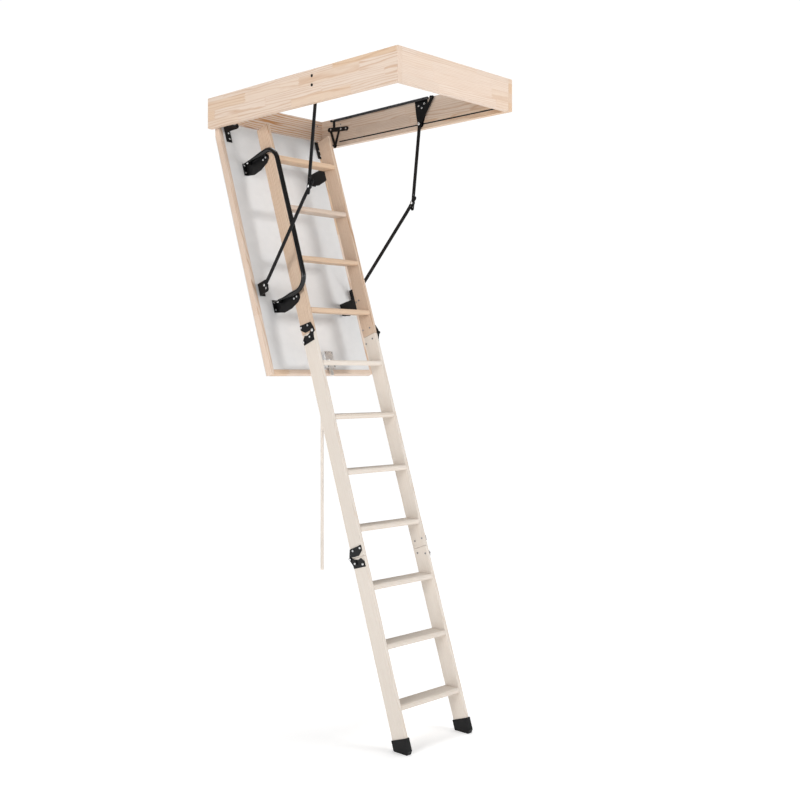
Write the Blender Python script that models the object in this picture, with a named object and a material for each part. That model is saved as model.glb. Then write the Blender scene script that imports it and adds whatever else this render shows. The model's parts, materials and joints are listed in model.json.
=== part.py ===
"""Three-section folding attic ladder in a pine box frame, hatch open.

Metres, +Z up, +X to the climber's right, +Y towards the hinged end of the
box.  The floor is Z = 0.  The ladder and the hatch are parallel, so both are
laid out in one sloping frame: "off" runs from the front of the stringers
towards the hatch, "s" runs down the ladder from the level of the box's
underside.
"""
import math

import bmesh
import bpy
from mathutils import Matrix, Vector

# ---------------------------------------------------------------- dimensions
FLOOR_TO_BOX = 2.625          # floor to the underside of the box
Y_CENTRE = 0.6000             # box front face to the middle of the object
BOX_LENGTH = 1.200
BOX_WIDTH = 0.700
BOX_HEIGHT = 0.137
BOARD = 0.024                 # box board thickness
REAR_BOARD_LIFT = 0.040       # underside of the hinge-end board
GAP = 0.0003                  # paper gap between touching pieces

SLOPE = math.radians(71.5)    # ladder and hatch, from the horizontal
FRONT_AT_BOX = 0.966          # stringer front plane, at the box underside
LADDER_WIDTH = 0.390
STILE_THICK = 0.018
STILE_DEPTH = 0.075
STILE_TOP = -0.016
UPPER_KNUCKLE = 0.976
LOWER_KNUCKLE = 1.962
STILE_END = 2.722
KNUCKLE_OUT = 0.003           # hinge axis beyond the stringer face
STEP_FIRST = 0.1593           # lower front edge of the top step
STEP_PITCH = 0.2439
STEP_THICK = 0.022
STEPS = (4, 4, 3)             # upper, middle, lower section

HATCH_WIDTH = 0.622
HATCH_TOP = -0.048             # end of the full thickness
HATCH_LIP = -0.104             # bevelled hinge end, under the rear board
BEVEL_OFF = 0.2114
HATCH_END = 1.109
HATCH_FACE = 0.1944           # inner face, measured from the stringer front
HATCH_THICK = 0.036
HATCH_RAIL = 0.020
SKIN = 0.003

HINGE_Y, HINGE_Z = 1.078, 0.004        # hatch hinge pin
ARM_Y, ARM_Z = 0.505, 0.022            # arm pivot on the box
KNEE_Y, KNEE_Z = 0.547, -0.333
FOOT_Y, FOOT_Z = 0.872, -0.725         # arm pin at the hatch
LEVER_Y, LEVER_Z = 0.427, 0.131        # spring pin on the lever
SPRING_Y, SPRING_Z = 1.086, 0.124      # spring anchor on the box
SPRING_X = 0.3100                      # plane the springs lie in
SPRING_R = 0.0068
SPRING_PEG_END = 0.3037
PEG_R = 0.003
ARM_WIDTH = 0.017
RAIL_X = -0.2165
RAIL_R = 0.0105
LOCK_X = 0.036
POLE_X = 0.045
POLE_R = 0.0075
POLE_END = 0.612

# ------------------------------------------------------------------- helpers
for old in list(bpy.data.objects):
    bpy.data.objects.remove(old, do_unlink=True)

CA, SA = math.cos(SLOPE), math.sin(SLOPE)


# columns: across, towards the hatch, up the ladder
LADDER = Matrix((
    (1.0, 0.0, 0.0, 0.0),
    (0.0, SA, CA, FRONT_AT_BOX - Y_CENTRE),
    (0.0, -CA, SA, FLOOR_TO_BOX),
    (0.0, 0.0, 0.0, 1.0),
))
BOX = Matrix.Translation((0.0, -Y_CENTRE, FLOOR_TO_BOX))


def to_slope(y, z):
    """Box (y, z) to sloping (off, s)."""
    dy, dz = y - FRONT_AT_BOX, z
    return dy * SA - dz * CA, -(dy * CA + dz * SA)


def finish(bm, name, frame):
    """The mesh stays in its own frame until every cut and join is done."""
    if bm.calc_volume(signed=True) < 0:
        bmesh.ops.reverse_faces(bm, faces=bm.faces)
    mesh = bpy.data.meshes.new(name)
    bm.to_mesh(mesh)
    bm.free()
    ob = bpy.data.objects.new(name, mesh)
    ob.matrix_world = frame
    bpy.context.scene.collection.objects.link(ob)
    return ob


def solid(bm):
    bmesh.ops.recalc_face_normals(bm, faces=bm.faces)
    return bm


def slab(name, x0, x1, outline, frame=BOX, bevel=0.0):
    """A plate across X: outline is a list of (y, z) in the frame."""
    bm = bmesh.new()
    a = [bm.verts.new((x0, p[0], p[1])) for p in outline]
    b = [bm.verts.new((x1, p[0], p[1])) for p in outline]
    bm.faces.new(a)
    bm.faces.new(list(reversed(b)))
    n = len(outline)
    for i in range(n):
        bm.faces.new((a[i], b[i], b[(i + 1) % n], a[(i + 1) % n]))
    if bevel:
        bmesh.ops.bevel(bm, geom=list(bm.edges), offset=bevel, segments=2,
                        profile=0.5, affect='EDGES', clamp_overlap=True)
    return finish(solid(bm), name, frame)


def brick(name, lo, hi, frame=BOX, bevel=0.0):
    return slab(name, lo[0], hi[0],
                [(lo[1], lo[2]), (hi[1], lo[2]), (hi[1], hi[2]),
                 (lo[1], hi[2])], frame, bevel)


def rod_x(name, x0, x1, y, z, r, frame=BOX, sides=20):
    """A round bar along X."""
    ring = [(y + r * math.cos(2 * math.pi * k / sides + 0.11),
             z + r * math.sin(2 * math.pi * k / sides + 0.11))
            for k in range(sides)]
    return slab(name, x0, x1, ring, frame)


def sweep(name, points, r, sides=16, frame=BOX):
    """A round bar through points given in the frame."""
    pts = [Vector(p) for p in points]
    bm = bmesh.new()
    rings = []
    prev = None
    for i, p in enumerate(pts):
        t = (pts[min(i + 1, len(pts) - 1)] - pts[max(i - 1, 0)]).normalized()
        if prev is None:
            ref = Vector((1, 0, 0)) if abs(t.x) < 0.9 else Vector((0, 0, 1))
            side = t.cross(ref).normalized()
        else:
            side = (prev - t * prev.dot(t)).normalized()
        prev = side
        up = t.cross(side)
        rings.append([bm.verts.new(p + side * r * math.cos(a) + up * r * math.sin(a))
                      for a in (2 * math.pi * k / sides for k in range(sides))])
    for a, b in zip(rings, rings[1:]):
        for k in range(sides):
            bm.faces.new((a[k], a[(k + 1) % sides], b[(k + 1) % sides], b[k]))
    bm.faces.new(rings[0])
    bm.faces.new(list(reversed(rings[-1])))
    return finish(solid(bm), name, frame)


def combine(target, others, operation):
    """Join or cut with the exact solver, then drop the other objects."""
    for other in others:
        mod = target.modifiers.new("cut", 'BOOLEAN')
        mod.operation = operation
        mod.solver = 'EXACT'
        mod.object = other
        bpy.context.view_layer.update()
        graph = bpy.context.evaluated_depsgraph_get()
        mesh = bpy.data.meshes.new_from_object(target.evaluated_get(graph))
        target.modifiers.clear()
        bm = bmesh.new()
        bm.from_mesh(mesh)
        bmesh.ops.remove_doubles(bm, verts=bm.verts, dist=4e-6)
        bmesh.ops.dissolve_degenerate(bm, edges=bm.edges, dist=4e-6)
        bm.to_mesh(mesh)
        bm.free()
        old = target.data
        target.data = mesh
        mesh.name = target.name
        bpy.data.meshes.remove(old)
        bpy.data.objects.remove(other, do_unlink=True)
    return target


def join(target, *others):
    return combine(target, others, 'UNION')


def cut(target, *others):
    return combine(target, others, 'DIFFERENCE')


def capsule(p, q, r, steps=8):
    """Outline of a round-ended bar from p to q in the (y, z) plane."""
    a = math.atan2(q[1] - p[1], q[0] - p[0])
    ring = []
    for k in range(steps + 1):
        t = a - math.pi / 2 + math.pi * k / steps
        ring.append((q[0] + r * math.cos(t), q[1] + r * math.sin(t)))
    for k in range(steps + 1):
        t = a + math.pi / 2 + math.pi * k / steps
        ring.append((p[0] + r * math.cos(t), p[1] + r * math.sin(t)))
    return ring


def arc(cx, cy, r, a0, a1, steps):
    return [(cx + r * math.cos(math.radians(a0 + (a1 - a0) * k / steps)),
             cy + r * math.sin(math.radians(a0 + (a1 - a0) * k / steps)))
            for k in range(steps + 1)]


def both(fn, stem):
    """Build the right piece, and its mirror image for the left."""
    fn(stem + "_right", 1.0)
    right = bpy.data.objects[stem + "_right"]
    bm = bmesh.new()
    bm.from_mesh(right.data)
    for v in bm.verts:
        v.co.x = -v.co.x
    bmesh.ops.reverse_faces(bm, faces=bm.faces)
    finish(bm, stem + "_left", right.matrix_world.copy())


# --------------------------------------------------------------- box frame
HW = BOX_WIDTH / 2
IN = HW - BOARD
SEAL_Z0, SEAL_Z1 = 0.0185, 0.0245
SEAL_END = 1.050


def seal_outline(inner, outer, end):
    """Plan of the U-shaped seal, as (x, y)."""
    y_in = BOARD + inner
    y_out = BOARD - outer
    return [(-IN + inner, end), (-IN - outer, end), (-IN - outer, y_out),
            (IN + outer, y_out), (IN + outer, end), (IN - inner, end),
            (IN - inner, y_in), (-IN + inner, y_in)]


def plan_prism(name, outline, z0, z1):
    bm = bmesh.new()
    a = [bm.verts.new((p[0], p[1], z0)) for p in outline]
    b = [bm.verts.new((p[0], p[1], z1)) for p in outline]
    bm.faces.new(a)
    bm.faces.new(list(reversed(b)))
    n = len(outline)
    for i in range(n):
        bm.faces.new((a[i], b[i], b[(i + 1) % n], a[(i + 1) % n]))
    return finish(solid(bm), name, BOX)


def groove():
    return plan_prism("groove", seal_outline(0.02, 0.0053, SEAL_END + GAP),
                      SEAL_Z0 - GAP, SEAL_Z1 + GAP)


def side_board(name, sign):
    x = sorted((sign * IN, sign * HW))
    board = brick(name, (x[0], 0.0, 0.0), (x[1], BOX_LENGTH, BOX_HEIGHT))
    cut(board, groove())


both(side_board, "side_board")
front = brick("end_board_front", (-IN + GAP, 0.0, 0.0),
              (IN - GAP, BOARD, BOX_HEIGHT))
cut(front, groove())
brick("end_board_rear", (-IN + GAP, BOX_LENGTH - BOARD, REAR_BOARD_LIFT),
      (IN - GAP, BOX_LENGTH, BOX_HEIGHT))
plan_prism("frame_seal", seal_outline(-0.0002, 0.0050, SEAL_END),
           SEAL_Z0, SEAL_Z1)

# -------------------------------------------------------------------- hatch
HX = HATCH_WIDTH / 2
OUT_SKIN = HATCH_FACE + HATCH_THICK - SKIN
RING_BACK = OUT_SKIN - GAP
frame_ring = slab("hatch_frame", -HX, HX,
                  [(HATCH_FACE, -HATCH_END), (RING_BACK, -HATCH_END),
                   (RING_BACK, -HATCH_TOP), (BEVEL_OFF, -HATCH_LIP),
                   (HATCH_FACE, -HATCH_LIP)], LADDER)
PANEL_X = HX - HATCH_RAIL
cut(frame_ring,
    brick("pocket", (-PANEL_X, HATCH_FACE - 0.01, -HATCH_END + HATCH_RAIL),
          (PANEL_X, OUT_SKIN + 0.01, -HATCH_TOP - HATCH_RAIL), LADDER),
    brick("rebate", (-PANEL_X + 0.0001, HATCH_FACE - 0.01,
                     -HATCH_TOP - HATCH_RAIL - 0.001),
          (PANEL_X - 0.0001, HATCH_FACE + 0.0041, -HATCH_LIP + 0.01), LADDER))
IX = PANEL_X - GAP
brick("hatch_inner_skin", (-IX, HATCH_FACE + 0.0008, -HATCH_END + HATCH_RAIL + GAP),
      (IX, HATCH_FACE + 0.0038, -HATCH_LIP - GAP), LADDER)
brick("hatch_core", (-IX, HATCH_FACE + 0.0041, -HATCH_END + HATCH_RAIL + GAP),
      (IX, OUT_SKIN - GAP, -HATCH_TOP - HATCH_RAIL - GAP), LADDER)
brick("hatch_outer_skin", (-HX, OUT_SKIN, -HATCH_END),
      (HX, HATCH_FACE + HATCH_THICK, -HATCH_TOP), LADDER)

# ------------------------------------------------------------- hatch hinges
H_OFF, H_S = to_slope(HINGE_Y, HINGE_Z)
LEAF_X0, LEAF_X1 = 0.2780, 0.2810      # upright web of the hatch's leaf
PLATE_WIDTH = 0.030                    # flat flanges, all turned to the right


def hinge_bracket(name, sign):
    x0, x1 = sign * (IN - GAP), sign * (IN - 0.0033)
    bar = slab(name, x0, x1, capsule((0.995, 0.078), (1.120, 0.088), 0.0105))
    legs = [slab("leg", sign * (IN - GAP - inset), sign * (IN - 0.0033 + inset),
                 capsule(p, (HINGE_Y, HINGE_Z), 0.0065))
            for p, inset in (((1.112, 0.087), 0.0001), ((1.048, 0.082), 0.0002))]
    hub = rod_x("hub", x0, sign * (IN - 0.0037), HINGE_Y, HINGE_Z, 0.0105)
    pin = rod_x("pin", sign * (IN - 0.002), sign * (LEAF_X0 - 0.0030), HINGE_Y,
                HINGE_Z, 0.004)
    head = rod_x("head", sign * (LEAF_X0 - 0.0005), sign * (LEAF_X0 - 0.0040),
                 HINGE_Y, HINGE_Z, 0.0075)
    screws = [rod_x("screw", sign * (IN - 0.002), sign * (IN - 0.0055),
                    y, z, 0.0042, sides=12)
              for y, z in ((1.106, 0.0868), (1.034, 0.0811), (0.999, 0.0783))]
    anchor = (SPRING_Y, SPRING_Z)
    tab = slab("tab", sign * (IN - GAP - 0.0003), sign * (IN - 0.0030),
               capsule((SPRING_Y, 0.086), anchor, 0.0075))
    peg = rod_x("peg", sign * (IN - 0.002), sign * SPRING_PEG_END, *anchor, PEG_R)
    stop = rod_x("stop", sign * (SPRING_PEG_END + 0.0015),
                 sign * (SPRING_PEG_END - 0.0012), *anchor, 0.0052)
    join(bar, *legs, hub, pin, head, *screws, tab, peg, stop)


both(hinge_bracket, "hinge_bracket")


def flange(x_web, sign):
    """Both sides use the same angle piece, its flange towards +X."""
    start = sign * x_web
    return start, start + PLATE_WIDTH


def hinge_leaf(name, sign):
    f = HATCH_FACE - GAP
    x0, x1 = flange((LEAF_X0 + LEAF_X1) / 2, sign)
    leaf = slab(name, x0, x1, [(f - 0.003, 0.007), (f, 0.007), (f, 0.096),
                               (f - 0.003, 0.096)], LADDER)
    web = slab("web", sign * LEAF_X0, sign * LEAF_X1,
               [(0.1080, 0.0285), (f - 0.0015, 0.0520), (f - 0.0015, 0.0950),
                (0.1120, 0.0505)], LADDER)
    eye = rod_x("eye", sign * (LEAF_X0 + 0.0001), sign * (LEAF_X1 - 0.0001),
                H_OFF, -H_S, 0.0115, LADDER)
    screws = [slab("screw", (x0 + x1) / 2 - 0.002, (x0 + x1) / 2 + 0.006,
                   [(f - 0.0045, z - 0.004), (f - 0.002, z - 0.004),
                    (f - 0.002, z + 0.004), (f - 0.0045, z + 0.004)], LADDER)
              for z in (0.022, 0.050, 0.078)]
    join(leaf, web, eye, *screws)
    cut(leaf, rod_x("bore", sign * (LEAF_X0 - 0.003), sign * (LEAF_X1 + 0.003),
                    H_OFF, -H_S, 0.0044, LADDER))


hinge_leaf("hinge_leaf_right", 1.0)
hinge_leaf("hinge_leaf_left", -1.0)

# ------------------------------------------------------------ arms, springs
def arm_plate(name, sign):
    x0, x1 = sign * (IN - GAP), sign * (IN - 0.0033)
    plate = slab(name, x0, x1, [
        (0.466, 0.1305), (0.463, 0.118), (0.476, 0.060), (0.489, 0.024)]
        + arc(ARM_Y, ARM_Z, 0.0165, 190, 350, 8)
        + [(0.532, 0.060), (0.541, 0.126), (0.538, 0.1325)])
    pin = rod_x("pin", sign * (IN - 0.002), sign * 0.3105, ARM_Y, ARM_Z, 0.005)
    head = rod_x("head", sign * 0.3131, sign * 0.3095, ARM_Y, ARM_Z, 0.0085)
    screws = [rod_x("screw", sign * (IN - 0.002), sign * (IN - 0.0052), y, z,
                    0.0042, sides=12)
              for y, z in ((0.516, 0.106), (0.482, 0.112), (0.497, 0.094))]
    join(plate, pin, head, *screws)


both(arm_plate, "arm_plate")

UP_X0, UP_X1 = 0.3140, 0.3180          # upper arm, across
LOW_X0, LOW_X1 = 0.3090, 0.3130        # lower arm at the knee
FOOT_X0, FOOT_X1 = 0.2830, 0.2870      # lower arm at the hatch


def along(p, q, d):
    """The point d metres from p towards q."""
    n = math.hypot(q[0] - p[0], q[1] - p[1])
    return (p[0] + (q[0] - p[0]) * d / n, p[1] + (q[1] - p[1]) * d / n)


P_ARM, P_KNEE, P_FOOT = (ARM_Y, ARM_Z), (KNEE_Y, KNEE_Z), (FOOT_Y, FOOT_Z)


def upper_arm(name, sign):
    x0, x1 = sign * UP_X0, sign * UP_X1
    r = ARM_WIDTH / 2
    low = along(P_KNEE, P_ARM, -0.026)
    bar = slab(name, x0, x1, capsule(P_ARM, low, r))
    lever = slab("lever", sign * (UP_X0 + 0.0001), sign * (UP_X1 - 0.0001),
                 capsule(P_ARM, (LEVER_Y, LEVER_Z), r * 0.93))
    hub = rod_x("hub", sign * (UP_X0 - 0.0001), sign * (UP_X1 + 0.0001),
                ARM_Y, ARM_Z, 0.0125)
    boss = rod_x("boss", sign * (UP_X0 - 0.0001), sign * (UP_X1 + 0.0001),
                 KNEE_Y, KNEE_Z, 0.0115)
    knee = rod_x("knee", sign * 0.3165, sign * 0.3070, KNEE_Y, KNEE_Z, 0.004)
    head = rod_x("head", sign * 0.3086, sign * 0.3056, KNEE_Y, KNEE_Z, 0.0072)
    cap = rod_x("cap", sign * 0.3165, sign * 0.3205, KNEE_Y, KNEE_Z, 0.0065)
    hook = rod_x("hook", sign * 0.3165, sign * 0.3030, LEVER_Y, LEVER_Z, 0.003)
    stop = rod_x("stop", sign * 0.3050, sign * 0.3025, LEVER_Y, LEVER_Z,
                 0.0052)
    join(bar, lever, hub, boss, knee, head, cap, hook, stop)
    holes = [rod_x("hole", sign * 0.30, sign * 0.33, *along(P_KNEE, P_ARM, d),
                   0.0026, sides=12) for d in (0.036, 0.020, -0.019)]
    cut(bar, rod_x("bore", sign * 0.30, sign * 0.33, ARM_Y, ARM_Z, 0.0054),
        *holes)


both(upper_arm, "upper_arm")


def lower_arm(name, sign):
    """A flat bar from the knee to the foot, joggled inwards at both ends."""
    span = math.hypot(P_FOOT[0] - P_KNEE[0], P_FOOT[1] - P_KNEE[1])
    uy, uz = (P_FOOT[0] - P_KNEE[0]) / span, (P_FOOT[1] - P_KNEE[1]) / span
    r = ARM_WIDTH / 2
    ends = [(-r * math.sin(a), r * math.cos(a))
            for a in (math.radians(80), math.radians(60), math.radians(35), 0)]
    stations = [(d - 0.026, w, 0.0) for d, w in ends]
    stations += [(0.030, r, 0.0), (0.055, r, 0.02), (span - 0.055, r, 0.98),
                 (span - 0.030, r, 1.0)]
    stations += [(span - d, w, 1.0) for d, w in reversed(ends)]
    bm = bmesh.new()
    rings = []
    for d, w, k in stations:
        x0 = LOW_X0 + (FOOT_X0 - LOW_X0) * k
        x1 = LOW_X1 + (FOOT_X1 - LOW_X1) * k
        y, z = P_KNEE[0] + uy * d, P_KNEE[1] + uz * d
        ring = []
        for x, side in ((x0, 1), (x1, 1), (x1, -1), (x0, -1)):
            ring.append(bm.verts.new((sign * x, y - uz * w * side,
                                      z + uy * w * side)))
        rings.append(ring)
    for a, b in zip(rings, rings[1:]):
        for k in range(4):
            bm.faces.new((a[k], a[(k + 1) % 4], b[(k + 1) % 4], b[k]))
    bm.faces.new(rings[0])
    bm.faces.new(list(reversed(rings[-1])))
    bar = finish(solid(bm), name, BOX)
    pin = rod_x("pin", sign * 0.2845, sign * 0.2720, FOOT_Y, FOOT_Z, 0.004)
    head = rod_x("head", sign * 0.2747, sign * 0.2712, FOOT_Y, FOOT_Z, 0.0072)
    cap = rod_x("cap", sign * 0.2855, sign * 0.2895, FOOT_Y, FOOT_Z, 0.0065)
    boss = rod_x("boss", sign * (LOW_X0 - 0.0001), sign * (LOW_X1 + 0.0001),
                 KNEE_Y, KNEE_Z, 0.0115)
    join(bar, pin, head, cap, boss)
    holes = [rod_x("hole", sign * 0.30, sign * 0.33, *along(P_KNEE, P_FOOT, d),
                   0.0026, sides=12) for d in (0.020, -0.019)]
    cut(bar, rod_x("bore", sign * 0.3088, sign * 0.3132, KNEE_Y, KNEE_Z,
                   0.0044), *holes)


both(lower_arm, "lower_arm")

F_OFF, F_S = to_slope(FOOT_Y, FOOT_Z)
SLOT = 0.0125                          # half travel of the pin in its slot


def arm_bracket(name, sign):
    """Angle bracket on the hatch whose slotted lug carries the arm pin."""
    f = HATCH_FACE - GAP
    x0, x1 = flange(0.2790, sign)
    base = slab(name, x0, x1,
                [(f - 0.003, -F_S - 0.030), (f, -F_S - 0.030),
                 (f, -F_S + 0.026), (f - 0.003, -F_S + 0.026)], LADDER)
    lug = slab("lug", sign * 0.2775, sign * 0.2805,
               [(f - 0.0015, -F_S - 0.0294), (f - 0.0015, -F_S + 0.0254),
                (F_OFF - 0.004, -F_S + 0.0254), (F_OFF - 0.0115, -F_S + 0.016),
                (F_OFF - 0.0115, -F_S - 0.022), (F_OFF - 0.004, -F_S - 0.0294)],
               LADDER)
    bolts = [slab("bolt", (x0 + x1) / 2 - 0.001, (x0 + x1) / 2 + 0.008,
                  [(f - 0.0055, -F_S + z - 0.0045), (f - 0.002, -F_S + z - 0.0045),
                   (f - 0.002, -F_S + z + 0.0045), (f - 0.0055, -F_S + z + 0.0045)],
                  LADDER) for z in (0.012, -0.016)]
    join(base, lug, *bolts)
    p = (FOOT_Y, FOOT_Z)
    slot = slab("slot", sign * 0.2730, sign * 0.2820,
                capsule((p[0] + 0.0008, p[1] - SLOT), (p[0] + 0.0008, p[1] + SLOT),
                        0.0058))
    cut(base, slot)


arm_bracket("arm_bracket_right", 1.0)
arm_bracket("arm_bracket_left", -1.0)


def spring(name, sign):
    """Tension spring with a hook at each end."""
    x = SPRING_X

    def at(d):
        return along((LEVER_Y, LEVER_Z), (SPRING_Y, SPRING_Z), d)
    total = math.hypot(SPRING_Y - LEVER_Y, SPRING_Z - LEVER_Z)
    p, q = at(0.030), at(total - 0.026)
    coil = sweep(name, [(sign * x, *p), (sign * x, *q)], SPRING_R, 16)
    wires = [sweep("wire", [(sign * x, *at(0.0045)), (sign * x, *at(0.034))],
                   0.0014, 8),
             sweep("wire", [(sign * x, *at(total - 0.030)),
                            (sign * x, *at(total - 0.002))], 0.0014, 8)]
    eyes = [rod_x("eye", sign * (x - 0.0014), sign * (x + 0.0014), LEVER_Y,
                  LEVER_Z, 0.0064),
            rod_x("eye", sign * (x - 0.0014), sign * (x + 0.0014), SPRING_Y,
                  SPRING_Z, 0.0064)]
    join(coil, *wires, *eyes)
    cut(coil, rod_x("bore", sign * (x - 0.01), sign * (x + 0.01), LEVER_Y,
                    LEVER_Z, 0.0035),
        rod_x("bore", sign * (x - 0.01), sign * (x + 0.01), SPRING_Y,
              SPRING_Z, 0.0035))


both(spring, "spring")

# ------------------------------------------------------------------ ladder
LX = LADDER_WIDTH / 2
SECTIONS = (("upper", STILE_TOP, UPPER_KNUCKLE - 0.0004),
            ("middle", UPPER_KNUCKLE + 0.0004, LOWER_KNUCKLE - 0.0004),
            ("lower", LOWER_KNUCKLE + 0.0004, STILE_END))


def stile(section, s0, s1):
    def make(name, sign):
        x = sorted((sign * LX, sign * (LX - STILE_THICK)))
        brick(name, (x[0], 0.0, -s1), (x[1], STILE_DEPTH, -s0), LADDER,
              bevel=0.0022)
    both(make, section + "_stile")


for label, top, bottom in SECTIONS:
    stile(label, top, bottom)


def step(number):
    s = STEP_FIRST + STEP_PITCH * number
    half = LX - STILE_THICK - GAP
    y0 = FRONT_AT_BOX - CA * s + 0.0035
    z0 = -SA * s
    y1 = FRONT_AT_BOX - CA * s + 0.0745 / SA
    z1 = z0 + STEP_THICK
    r = 0.0085
    outline = ([(y0 + r, z0)] + [(y1 - 0.002, z0), (y1, z0 + 0.002),
               (y1 + 0.0015, z1 - 0.002), (y1 - 0.0005, z1)]
               + arc(y0 + r, z1 - r, r, 90, 180, 5)
               + arc(y0 + r, z0 + r, r, 180, 262, 5))
    slab("step_%02d" % (number + 1), -half, half, outline)


for i in range(sum(STEPS)):
    step(i)

# ----------------------------------------------------------- section hinges
INNER = (LX + GAP, LX + 0.0033)
OUTER = (LX + 0.0036, LX + 0.0066)


def section_hinge(tag, s, rear):
    """Two leaves on each stringer; the knuckle is at one edge."""
    axis = STILE_DEPTH + KNUCKLE_OUT if rear else -KNUCKLE_OUT

    def place(points):
        return [((STILE_DEPTH - p[0]) if rear else p[0], p[1] - s)
                for p in points]

    def fixed(name, sign):
        leaf = slab(name, sign * INNER[0], sign * INNER[1], place([
            (0.002, 0.0080), (-0.0085, 0.0050), (-0.0085, 0.0120),
            (0.003, 0.0400), (0.073, 0.0455), (0.073, 0.0240),
            (0.048, 0.0050), (0.022, 0.0050)]), LADDER)
        knuckle = rod_x("knuckle", sign * INNER[0], sign * INNER[1], axis, -s,
                        0.0085, LADDER)
        pin = rod_x("pin", sign * (LX + 0.002), sign * (LX + 0.0085), axis,
                    -s, 0.0038, LADDER)
        head = rod_x("head", sign * (LX + 0.0070), sign * (LX + 0.0096), axis,
                     -s, 0.0070, LADDER)
        bolts = [rod_x("bolt", sign * (LX + 0.002), sign * (LX + 0.0052),
                       (STILE_DEPTH - o) if rear else o, z - s, 0.0052, LADDER,
                       sides=12) for o, z in ((0.066, 0.034), (0.022, 0.031))]
        join(leaf, knuckle, pin, head, *bolts)

    def swinging(name, sign):
        leaf = slab(name, sign * INNER[0], sign * INNER[1], place([
            (0.0125, -0.0030), (0.040, -0.0110), (0.056, -0.0060),
            (0.073, -0.0220), (0.073, -0.0450), (0.003, -0.0410),
            (0.003, -0.0120), (0.008, -0.0105)]), LADDER)
        tab = slab("tab", sign * OUTER[0], sign * OUTER[1], place([
            (0.030, -0.0140), (0.012, 0.0000), (-0.0035, 0.0080),
            (-0.0085, 0.0010), (-0.0060, -0.0070), (0.006, -0.0290),
            (0.030, -0.0290)]), LADDER)
        # the tab is carried clear of the fixed leaf on a raised seat
        seat = slab("seat", sign * (LX + 0.0030), sign * (OUTER[0] + 0.0005),
                    place([(0.028, -0.0150), (0.013, -0.0130),
                           (0.011, -0.0270), (0.028, -0.0270)]), LADDER)
        bolts = [rod_x("bolt", sign * (LX + 0.002), sign * (LX + 0.0088),
                       (STILE_DEPTH - o) if rear else o, z - s, 0.0052, LADDER,
                       sides=12) for o, z in ((0.066, -0.033), (0.021, -0.022))]
        join(leaf, tab, seat, *bolts)
        cut(leaf, rod_x("bore", sign * (LX + 0.001), sign * (LX + 0.012), axis,
                        -s, 0.0042, LADDER))

    both(fixed, tag + "_hinge_top")
    both(swinging, tag + "_hinge_bottom")


section_hinge("upper", UPPER_KNUCKLE, False)
section_hinge("lower", LOWER_KNUCKLE, True)

# ------------------------------------------- brackets to the hatch, handrail
def hatch_bracket(s_mid):
    def make(name, sign):
        f = HATCH_FACE - GAP
        outline = [(f - 0.0011, -s_mid + 0.0355), (0.060, -s_mid + 0.024),
                   (0.040, -s_mid + 0.014), (0.031, -s_mid + 0.001),
                   (0.034, -s_mid - 0.012), (0.050, -s_mid - 0.025),
                   (0.100, -s_mid - 0.038), (0.150, -s_mid - 0.038),
                   (f - 0.0011, -s_mid - 0.0215)]
        web = slab(name, sign * INNER[0], sign * INNER[1], outline, LADDER)
        foot = slab("foot", sign * (INNER[0] + 0.0003), sign * (LX + 0.022),
                    [(f - 0.003, -s_mid - 0.022), (f, -s_mid - 0.022),
                     (f, -s_mid + 0.036), (f - 0.003, -s_mid + 0.036)], LADDER)
        bolts = [rod_x("bolt", sign * (LX + 0.002), sign * (LX + 0.0058), o,
                       -s_mid + z, 0.0052, LADDER, sides=12)
                 for o, z in ((0.068, -0.003), (0.049, 0.000))]
        screws = [slab("screw", sign * (LX + 0.0095), sign * (LX + 0.0175),
                       [(f - 0.0048, -s_mid + z - 0.004),
                        (f - 0.002, -s_mid + z - 0.004),
                        (f - 0.002, -s_mid + z + 0.004),
                        (f - 0.0048, -s_mid + z + 0.004)], LADDER)
                  for z in (0.024, -0.010)]
        join(web, foot, *bolts, *screws)
    return make


both(hatch_bracket(0.131), "hatch_bracket_top")
both(hatch_bracket(0.801), "hatch_bracket_bottom")

rail_path = [(0.172, -0.1085), (0.030, -0.1140)]
rail_path += arc(0.026, -0.181, 0.067, 93, 178, 8)
rail_path += [(-0.0415, -0.300), (-0.0430, -0.500), (-0.0415, -0.715)]
rail_path += arc(0.024, -0.723, 0.0655, 182, 268, 8)
rail_path += [(0.172, -0.7850)]
handrail = sweep("handrail", [(RAIL_X, a, b) for a, b in rail_path], RAIL_R,
                 16, LADDER)
join(handrail,
     rod_x("spacer", RAIL_X, -(LX + 0.0036), 0.153, -0.1092, 0.008, LADDER),
     rod_x("spacer", RAIL_X, -(LX + 0.0036), 0.153, -0.7852, 0.008, LADDER),
     rod_x("bolt", RAIL_X, RAIL_X - 0.0135, 0.153, -0.1092, 0.0065, LADDER),
     rod_x("bolt", RAIL_X, RAIL_X - 0.0135, 0.153, -0.7852, 0.0065, LADDER))

# --------------------------------------------------------------------- feet
def foot_cap(name, sign):
    x = sorted((sign * (LX - STILE_THICK - 0.0030), sign * (LX + 0.0030)))
    top = 2.700

    def at(off, s):
        return (FRONT_AT_BOX + off * SA - s * CA, -off * CA - s * SA)

    def on_floor(off):
        return (FRONT_AT_BOX + off * SA - CA * (FLOOR_TO_BOX - off * CA) / SA,
                -FLOOR_TO_BOX)

    shoe = slab(name, x[0], x[1],
                [at(-0.003, top), at(0.078, top), at(0.078, 2.7385),
                 on_floor(0.076), on_floor(0.008), at(-0.003, 2.752)], BOX)
    cut(shoe, brick("well", (x[0] + 0.0027, -0.0003, -STILE_END - GAP),
                    (x[1] - 0.0027, STILE_DEPTH + 0.0003, -2.60), LADDER))


both(foot_cap, "foot")

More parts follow.
